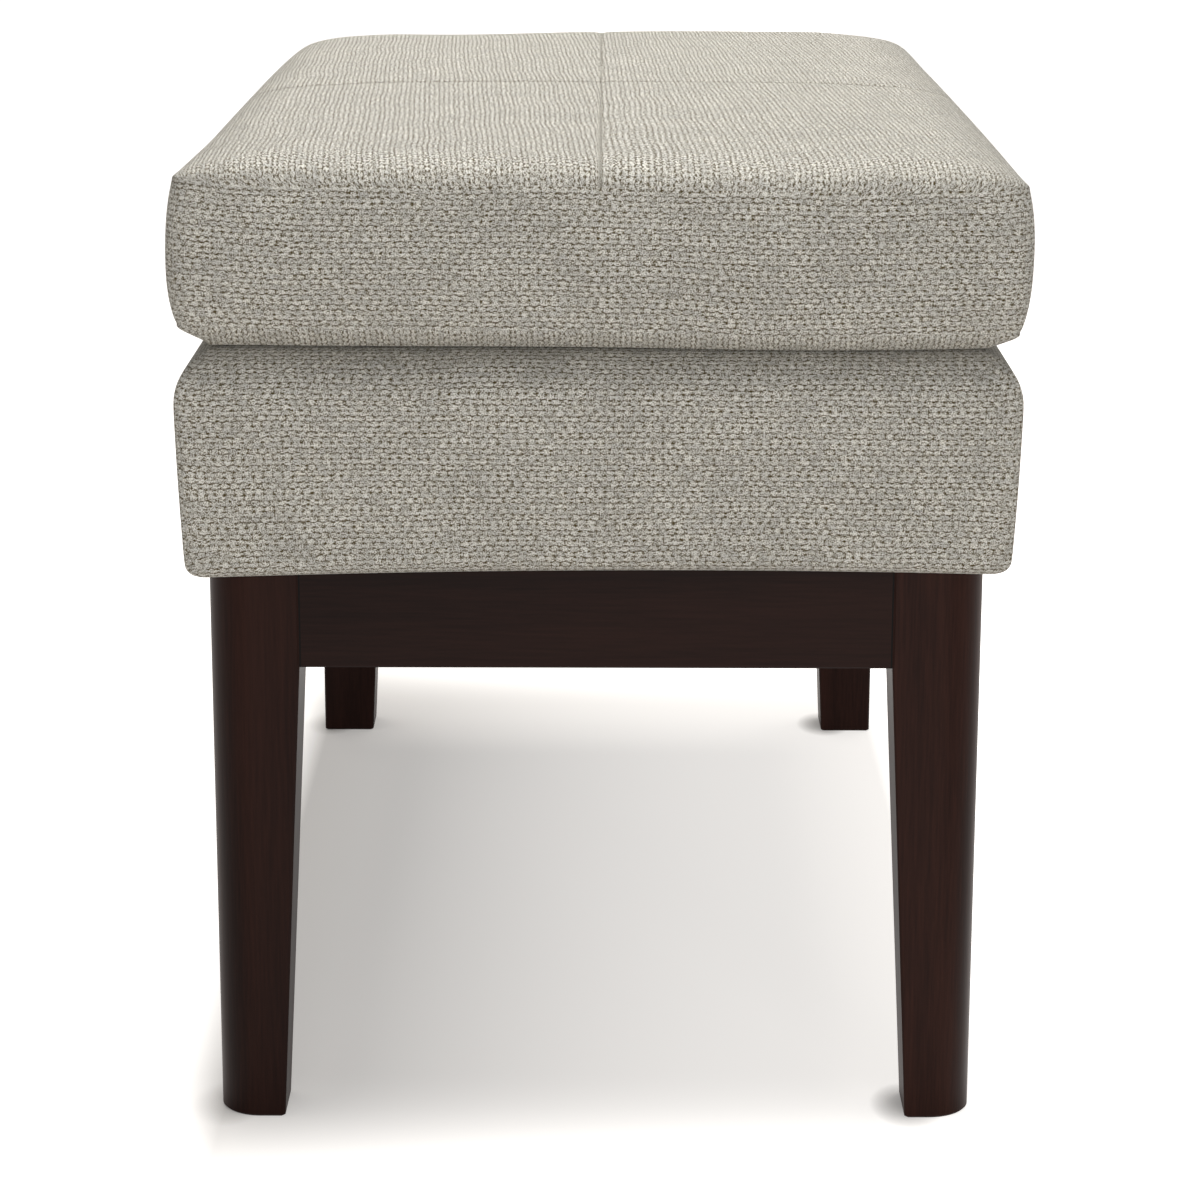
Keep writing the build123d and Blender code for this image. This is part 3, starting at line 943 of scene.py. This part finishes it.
class Weave(Graph):
    """Material of the cloth on its flat map: rows of short floats with dark holes at their ends."""

    def __init__(self, name):
        super().__init__(name)
        flat = self.tree.nodes.new("ShaderNodeUVMap")
        flat.uv_map = "weave"
        self.plane = flat.outputs[0]
        self.lay_yarns()
        self.lay_floats()
        self.round_floats()

    def lay_yarns(self):
        """Places along and across the rows, with the wander of the yarns and the ripple of each row."""
        u, v, _ = self.split(self.plane)
        wander = self.split(self.noise(self.plane, WANDER_SCALE, detail=1.0)["Color"])
        ripple = self.split(self.noise(self.plane, RIPPLE_SCALE, detail=1.0)["Color"])
        u = self.plus(u, wander[0], WANDER)
        v = self.plus(v, wander[1], WANDER)
        self.u = self.plus(u, ripple[0], RIPPLE_ALONG)
        self.v = self.plus(v, ripple[1], RIPPLE_ACROSS)

    def lay_floats(self):
        """Rows in threes; the first of each three is offset by half a float from the other two."""
        row_place = self.math("DIVIDE", self.v, ROW_PITCH)
        self.row = self.math("FLOOR", row_place)
        across = self.from_half(self.math("SUBTRACT", row_place, self.row))
        self.cycle = self.math("FRACT", self.math("DIVIDE", row_place, ROWS_IN_CYCLE))
        past_first = self.math("GREATER_THAN", self.cycle, 1 / ROWS_IN_CYCLE)
        offset = self.math("MULTIPLY", past_first, ROW_OFFSET)
        row_chance = self.random(self.vector(self.row, 0.0, 0.0))
        float_place = self.plus(offset, self.u, 1 / FLOAT_LENGTH)
        float_place = self.plus(float_place, row_chance, ROW_JITTER)
        cell = self.math("FLOOR", float_place)
        along = self.from_half(self.math("SUBTRACT", float_place, cell))
        self.chance = self.random(self.vector(self.row, cell, CELL_SLICE))
        self.to_row_edge = self.math("MULTIPLY", self.math("ABSOLUTE", across), 2.0)
        self.to_float_end = self.math("MULTIPLY", self.math("ABSOLUTE", along), 2.0)

    def round_floats(self):
        """Each float is round, and a hole lies where its end meets the next row."""
        self.round_across = self.math("POWER", self.to_row_edge, ROUND_ACROSS_POWER)
        round_along = self.math("POWER", self.to_float_end, ROUND_ALONG_POWER)
        hole_across = self.math("POWER", self.to_row_edge, HOLE_ACROSS_POWER)
        hole_along = self.math("POWER", self.to_float_end, HOLE_ALONG_POWER)
        row_depth = self.ramp(self.cycle, [(place, (depth, depth, depth)) for place, depth in HOLE_DEPTHS])
        depth = self.math("MULTIPLY", self.math("ADD", self.chance, HOLE_LEAST), row_depth)
        self.hole = self.math("MULTIPLY", self.math("MULTIPLY", hole_across, hole_along), depth)
        height = self.plus(1.0, self.round_across, -ROUND_ACROSS_DEPTH)
        height = self.plus(height, round_along, -ROUND_ALONG_DEPTH)
        self.height = self.plus(height, self.hole, -HOLE_DEPTH)

    def yarn_noise(self, along, across):
        """Noise with scales of its own along and across the rows."""
        u = self.math("MULTIPLY", self.u, along)
        v = self.math("MULTIPLY", self.v, across)
        return self.noise(self.vector(u, v, 0.0), 1.0, detail=1.0)


def above(graph, low, high):
    """0 below one height, 1 above another."""
    height = graph.math("SUBTRACT", graph.split(graph.place())[2], low)
    share = graph.math("DIVIDE", height, high - low)
    return graph.math("MINIMUM", graph.math("MAXIMUM", share, 0.0), 1.0)


def seam_shade(graph):
    """Painted shade of the two seams that cross on the cushion's top: 0 away from their lines."""
    x, y, _ = graph.split(graph.place())
    across = graph.math("DIVIDE", y, BELLY_Y)
    bow = graph.math("MULTIPLY", graph.math("MULTIPLY", across, across), CROSS_SEAM_BOW)
    from_cross = graph.math("ABSOLUTE", graph.math("SUBTRACT", x, bow))
    from_length = graph.math("ABSOLUTE", graph.math("SUBTRACT", y, CUSHION_SHIFT + TOP_LEAN))
    seams = [
        (from_cross, SEAM_LINE_ACROSS, SEAM_DARK_ACROSS),
        (from_length, SEAM_LINE_ALONG, SEAM_DARK_ALONG),
    ]
    lines = []
    for distance, half_width, darkness in seams:
        near = graph.plus(darkness, distance, -darkness / half_width)
        lines.append(graph.math("MAXIMUM", near, 0.0))
    on_top = above(graph, TOP_SEAM - SEAM_SOFT, TOP_SEAM)
    return graph.math("MULTIPLY", graph.math("MAXIMUM", *lines), on_top)


def painted_margin_shade(graph):
    """Mask of painted shade: 1 at the long edges of the cushion's top, 0 away from them and on its sides.
    """
    from_middle = graph.math("ABSOLUTE", graph.split(graph.place())[1])
    past = graph.math("SUBTRACT", from_middle, BELLY_Y - MARGIN_REACH)
    share = graph.math("DIVIDE", graph.math("MAXIMUM", past, 0.0), MARGIN_REACH)
    return graph.math("MULTIPLY", share, above(graph, TOP_SEAM - SEAM_SOFT, TOP_SEAM + SEAM_SOFT))


def painted_crease_shade(graph):
    """Mask of painted shade: 1 on the body's shoulder under the cushion, 0 on its sides."""
    return above(graph, BODY_TOP - CREASE_REACH, BODY_TOP - CREASE_DEPTH)


def weave_material(name, sewn):
    """Heathered basket weave of the upholstery; sewn is for the cushion, with its middle seams."""
    weave = Weave(name)

    # Loose fibres and mixed fibre colours blur the floats
    fibre = weave.noise(weave.plane, FIBRE_SCALE, detail=2.0, roughness=0.7)["Fac"]
    heather = weave.yarn_noise(HEATHER_ALONG, HEATHER_ACROSS)
    strand = weave.from_half(weave.yarn_noise(STRAND_ALONG, STRAND_ACROSS)["Fac"])
    shade = weave.plus(weave.math("MULTIPLY", strand, STRAND_SHARE), weave.height, HEIGHT_SHARE)
    if sewn:
        # On the flat of the top, painted shade of the weave's relief deepens its rows and holes
        on_flat = above(weave, SEAT_TOP - FLAT_START, SEAT_TOP - FLAT_FULL)
        more = weave.math("MULTIPLY", strand, FLAT_STRANDS)
        more = weave.plus(more, weave.math("SUBTRACT", MEAN_ROUND, weave.round_across), FLAT_ROW_SHADE)
        more = weave.plus(more, weave.math("SUBTRACT", MEAN_HOLE, weave.hole), FLAT_HOLE_SHADE)
        shade = weave.plus(shade, more, on_flat)
    shade = weave.plus(shade, weave.from_half(fibre), FIBRE_SHARE)
    shade = weave.plus(shade, weave.from_half(heather["Fac"]), HEATHER_SHARE)
    shade = weave.plus(SHADE_START, shade, SHADE_GAIN)
    colour = weave.ramp(shade, WEAVE_COLOURS)

    # Floats, slubs and patches differ in lightness, and painted shade darkens the margins or the crease
    slub_u = weave.math("MULTIPLY", weave.u, SLUB_ALONG)
    slub_v = weave.math("MULTIPLY", weave.row, SLUB_ROW)
    slub = weave.noise(weave.vector(slub_u, slub_v, 0.0), 1.0, detail=2.0)["Fac"]
    light = weave.plus(FLOAT_LIGHT_LEAST, weave.chance, FLOAT_LIGHT)
    light = weave.plus(light, slub, SLUB_LIGHT)
    patches = weave.noise(weave.plane, PATCH_SCALE, detail=2.0)["Fac"]
    light = weave.plus(light, weave.from_half(patches), PATCH_LIGHT)
    painted_shade = painted_margin_shade(weave) if sewn else painted_crease_shade(weave)
    light = weave.plus(light, painted_shade, -PAINTED_EDGE_SHADE)
    colour = weave.mix("MULTIPLY", 1.0, colour, weave.vector(light, light, light))
    olive = weave.math("MULTIPLY", weave.split(heather["Color"])[1], OLIVE_SHARE)
    colour = weave.mix("MULTIPLY", olive, colour, OLIVE)
    # Painted shade along the middle seams of the cushion's top
    if sewn:
        colour = weave.mix("MULTIPLY", seam_shade(weave), colour, SEAM_SHADE_COLOUR)

    weave.bump(weave.plus(weave.height, fibre, FIBRE_HEIGHT), strength=0.38, distance=0.8 * MM)
    weave.shader.inputs["Sheen Weight"].default_value = 0.12
    weave.shader.inputs["Sheen Roughness"].default_value = 0.5
    return weave.finish(colour, roughness=0.92, specular=0.15)


def wood_material(name, axis, dark, light, roughness, specular, streak, joint=None):
    """Timber with its grain along one axis; a painted shadow line darkens it where its ends pass the
    joint.
    """
    graph = Graph(name)
    place = list(graph.split(graph.place()))
    along = place[axis]
    place[axis] = graph.math("MULTIPLY", along, GRAIN_STRETCH)
    along_grain = graph.vector(*place)
    figure = graph.noise(along_grain, FIGURE_SCALE, detail=3.0, roughness=0.55)["Fac"]
    pores = graph.noise(along_grain, PORE_SCALE, detail=2.0, roughness=0.6)["Fac"]
    figure = graph.plus(figure, graph.from_half(pores), streak)
    colour = graph.two_tones(figure, dark, light)
    # Painted shadow of the gap where the apron meets the leg
    if joint:
        in_line = graph.math("GREATER_THAN", graph.math("ABSOLUTE", along), joint - JOINT_LINE)
        colour = graph.mix("MIX", in_line, colour, JOINT_SHADOW_COLOUR)
    graph.bump(pores, strength=0.12, distance=0.2 * MM)
    rough = graph.plus(roughness - WOOD_ROUGH_SPREAD / 2, figure, WOOD_ROUGH_SPREAD)
    return graph.finish(colour, rough, specular)


def steel_material():
    """Plated steel with a cloudy surface."""
    graph = Graph("zinc_plated_steel")
    place = graph.place()
    cloud = graph.noise(place, STEEL_CLOUD_SCALE, detail=3.0)["Fac"]
    fine = graph.noise(place, STEEL_FINE_SCALE, detail=2.0)["Fac"]
    colour = graph.two_tones(cloud, STEEL_DARK, STEEL_LIGHT)
    graph.bump(fine, strength=0.1, distance=0.1 * MM)
    rough = graph.plus(STEEL_ROUGHNESS, cloud, STEEL_ROUGH_SPREAD)
    return graph.finish(colour, rough, metallic=1.0)


def dust_cloth_material():
    """Black bonded cloth with short tangled fibres."""
    graph = Graph("bonded_dust_cloth")
    place = graph.place()
    fibres = graph.noise(place, DUST_FIBRE_SCALE, detail=3.0, roughness=0.7)["Fac"]
    cloud = graph.noise(place, DUST_CLOUD_SCALE, detail=3.0)["Fac"]
    colour = graph.two_tones(fibres, DUST_DARK, DUST_LIGHT)
    graph.bump(graph.math("ADD", fibres, cloud), strength=0.3, distance=0.2 * MM)
    return graph.finish(colour, roughness=0.9, specular=0.2)


def paint(piece, material):
    piece.data.materials.clear()
    piece.data.materials.append(material)


# Upholstered pieces
cushion = make_cushion()
inflate(cushion, "seams", SWELL_PRESSURE, SWELL_MOST)
subdivide(cushion)
paint(cushion, weave_material("heathered_weave_sewn", sewn=True))
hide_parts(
    "cushion_top_near_right", "cushion_top_near_left", "cushion_top_far_right", "cushion_top_far_left",
    "cushion_boxing", "cushion_underside", "cushion_core", "cushion_batting",
)

body = make_body()
subdivide(body)
paint(body, weave_material("heathered_weave", sewn=False))
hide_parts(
    "body_cover_near", "body_cover_far", "body_cover_right", "body_cover_left",
    "side_pad_near", "side_pad_far", "side_pad_right", "side_pad_left", "deck_pad", "deck_lining",
)

dust_cloth, dust_flat, dust_area = make_dust_cloth()
paint(dust_cloth, dust_cloth_material())
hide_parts("dust_cover")

# Finishes of the frame
# Lit and shaded copies of the leg finish, with painted light on the right legs
leg_wood = {}
for side, tone in LEG_PAINTED_LIGHT.items():
    dark = Vector(ESPRESSO_DARK) * tone
    light = Vector(ESPRESSO_LIGHT) * tone
    leg_wood[side] = wood_material(f"espresso_leg_wood_painted_light_{side}", Z_AXIS, dark, light, **ESPRESSO)
apron_wood = {}
pine = {}
for axis in (X_AXIS, Y_AXIS):
    name = f"espresso_apron_wood_{axis}"
    apron_wood[axis] = wood_material(name, axis, APRON_DARK, APRON_LIGHT, **ESPRESSO, joint=LEG_LOW[axis])
    pine[axis] = wood_material(f"pine_{axis}", axis, PINE_DARK, PINE_LIGHT, **PINE)
steel = steel_material()
for name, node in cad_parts.items():
    if name.startswith("leg_"):
        paint(node, leg_wood[name.rsplit("_", 1)[1]])
    elif name in ("apron_near", "apron_far"):
        paint(node, apron_wood[Y_AXIS])
    elif name in ("apron_right", "apron_left"):
        paint(node, apron_wood[X_AXIS])
    elif name.startswith(("hanger_", "lag_")):
        paint(node, steel)
    elif name in ("rail_near", "rail_far") or name.startswith("cross_rail"):
        paint(node, pine[Y_AXIS])
    elif not node.hide_render:
        paint(node, pine[X_AXIS])

# Floor, light and camera


def seen_rays(tree):
    """1 on the rays by which a background is seen: from the camera, in gloss and through glass."""
    paths = tree.nodes.new("ShaderNodeLightPath").outputs
    seen = paths["Is Camera Ray"]
    for kind in ("Is Glossy Ray", "Is Transmission Ray"):
        either = tree.nodes.new("ShaderNodeMath")
        either.operation = "MAXIMUM"
        tree.links.new(seen, either.inputs[0])
        tree.links.new(paths[kind], either.inputs[1])
        seen = either.outputs[0]
    return seen


def painted_foot_shadow(graph, x, y):
    """Share of the floor's glow that the painted shadow beside the feet leaves: 1 away from them."""
    foot_x = LEG_HIGH.x - FOOT_HALF
    foot_y = LEG_HIGH.y - FOOT_HALF
    from_x = graph.math("SUBTRACT", graph.math("ABSOLUTE", x), foot_x)
    side = graph.math("MULTIPLY", graph.math("SIGN", y), foot_y)
    from_y = graph.math("ADD", graph.math("SUBTRACT", y, side), CONTACT_ASIDE)
    part_x = graph.math("POWER", graph.math("DIVIDE", from_x, CONTACT_HALF_X), 2.0)
    part_y = graph.math("POWER", graph.math("DIVIDE", from_y, CONTACT_HALF_Y), 2.0)
    away = graph.math("MINIMUM", graph.math("ADD", part_x, part_y), 1.0)
    return graph.plus(1 - CONTACT_SHADE, away, CONTACT_SHADE)


def floor_glow(graph):
    """Strength of the floor's glow, painted light: it shapes the shadow under the bench, and is white away
    from it.
    """
    x, y, _ = graph.split(graph.place())
    from_middle = graph.math("ABSOLUTE", graph.math("ADD", x, FLOOR_SHADE_BACK))
    past_x = graph.math("SUBTRACT", from_middle, LEG_HIGH.x - FLOOR_END_INSET)
    past_x = graph.math("MAXIMUM", past_x, 0.0)
    paler_x = graph.math("MULTIPLY", graph.math("MULTIPLY", past_x, past_x), FLOOR_PALER_ENDS)
    past_y = graph.math("SUBTRACT", graph.math("ABSOLUTE", y), LEG_HIGH.y - FLOOR_SIDE_INSET)
    paler_y = graph.math("MULTIPLY", graph.math("MAXIMUM", past_y, 0.0), FLOOR_PALER_SIDES)
    paler = graph.math("MINIMUM", graph.math("ADD", paler_x, paler_y), 1.0)
    from_peak = graph.math("DIVIDE", graph.math("SUBTRACT", y, FLOOR_GLOW_PEAK), FLOOR_GLOW_REACH)
    fall = graph.math("MULTIPLY", from_peak, from_peak)
    middle = graph.math("MAXIMUM", graph.math("SUBTRACT", 1.0, fall), 0.0)
    middle = graph.math("MULTIPLY", middle, painted_foot_shadow(graph, x, y))
    return graph.plus(paler, middle, FLOOR_GLOW)


def make_floor():
    """Pale floor that keeps the object's shadow, and glows where it is seen with painted light that shapes
    that shadow.
    """
    mesh = bpy.data.meshes.new("floor")
    corners = [(-1, -1), (1, -1), (1, 1), (-1, 1)]
    mesh.from_pydata([(FLOOR_HALF * x, FLOOR_HALF * y, 0) for x, y in corners], [], [(0, 1, 2, 3)])
    floor = bpy.data.objects.new("floor", mesh)
    scene.collection.objects.link(floor)
    graph = Graph("pale_floor")
    graph.finish(FLOOR_COLOUR, roughness=0.9, specular=0.0)
    glow = graph.tree.nodes.new("ShaderNodeEmission")
    glow.inputs["Color"].default_value = FLOOR_GLOW_COLOUR
    strength = graph.math("MULTIPLY", seen_rays(graph.tree), floor_glow(graph))
    graph.put(glow.inputs["Strength"], strength)
    both = graph.tree.nodes.new("ShaderNodeAddShader")
    graph.put(both.inputs[0], graph.shader.outputs[0])
    graph.put(both.inputs[1], glow.outputs[0])
    output = graph.tree.nodes["Material Output"]
    graph.put(output.inputs["Surface"], both.outputs[0])
    paint(floor, graph.material)


def make_world():
    """Soft light from all round, which is white where it is seen."""
    world = bpy.data.worlds.new("studio")
    scene.world = world
    world.use_nodes = True
    tree = world.node_tree
    background = tree.nodes["Background"]
    background.inputs["Color"].default_value = WORLD_COLOUR
    strength = tree.nodes.new("ShaderNodeMapRange")
    strength.inputs["To Min"].default_value = WORLD_LIGHT
    strength.inputs["To Max"].default_value = WORLD_WHITE
    tree.links.new(seen_rays(tree), strength.inputs["Value"])
    tree.links.new(strength.outputs[0], background.inputs["Strength"])


def area_light(name, place, aim, size, power, colour):
    data = bpy.data.lights.new(name, "AREA")
    data.shape = "RECTANGLE"
    data.size = size[0]
    data.size_y = size[1]
    data.energy = power
    data.color = colour
    lamp = bpy.data.objects.new(name, data)
    scene.collection.objects.link(lamp)
    lamp.location = place
    lamp.rotation_euler = (Vector(aim) - Vector(place)).to_track_quat("-Z", "Y").to_euler()


def make_camera():
    """Camera in front of the near end, looking along the bench and a little down."""
    data = bpy.data.cameras.new("camera")
    data.sensor_width = CAMERA_SENSOR
    data.lens = CAMERA_LENS
    camera = bpy.data.objects.new("camera", data)
    scene.collection.objects.link(camera)
    pitch = math.radians(CAMERA_PITCH)
    forward = Vector((-math.cos(pitch), 0, -math.sin(pitch)))
    up = Vector((-math.sin(pitch), 0, math.cos(pitch)))
    right = Vector((0, 1, 0))
    turn = Matrix((right, up, -forward)).transposed().to_4x4()
    camera.matrix_world = (
        Matrix.Translation(CAMERA_PLACE)
        @ Matrix.Rotation(math.radians(CAMERA_YAW), 4, "Z")
        @ turn
        @ Matrix.Rotation(math.radians(CAMERA_ROLL), 4, "Z")
    )
    scene.camera = camera


make_floor()
make_world()
area_light(
    "overhead",
    place=(-0.35, 0.05, 2.7), aim=(0, 0, 0.3), size=(1.8, 1.8), power=51, colour=(1.0, 0.985, 0.955),
)
area_light(
    "front_fill",
    place=(3.2, 0.35, 0.9), aim=(0, 0, 0.3), size=(2.0, 1.2), power=26, colour=(1.0, 1.0, 1.0),
)
make_camera()
scene.view_settings.view_transform = "Standard"
